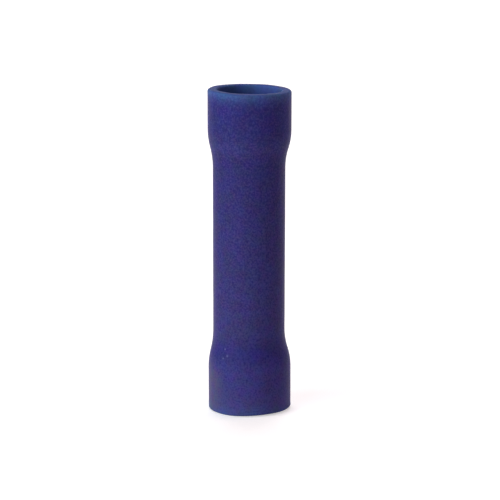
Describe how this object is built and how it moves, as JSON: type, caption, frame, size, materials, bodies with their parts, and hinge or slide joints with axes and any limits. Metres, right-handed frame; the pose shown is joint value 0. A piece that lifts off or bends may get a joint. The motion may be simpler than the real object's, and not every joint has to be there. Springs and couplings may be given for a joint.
{
  "type": "butt splice connector",
  "caption": "Insulated butt splice connector: a tinned copper barrel in a blue vinyl sleeve that opens into a bell at each end, for crimping wires together end to end.",
  "frame": {"origin": "centre of the lower bell's end face, on which the connector stands", "axes": "+Z along the connector's axis, from the lower bell to the upper bell; +X and +Y are any two square directions across it"},
  "size_m": [0.0066, 0.0066, 0.0261],
  "materials": {
    "blue_vinyl": "satin, slightly grainy, deep violet-blue vinyl",
    "tinned_copper": "bright tin plating over copper"
  },
  "bodies": {
    "root": {"insulating_sleeve": "blue_vinyl", "conductor_barrel": "tinned_copper"}
  },
  "joints": []
}
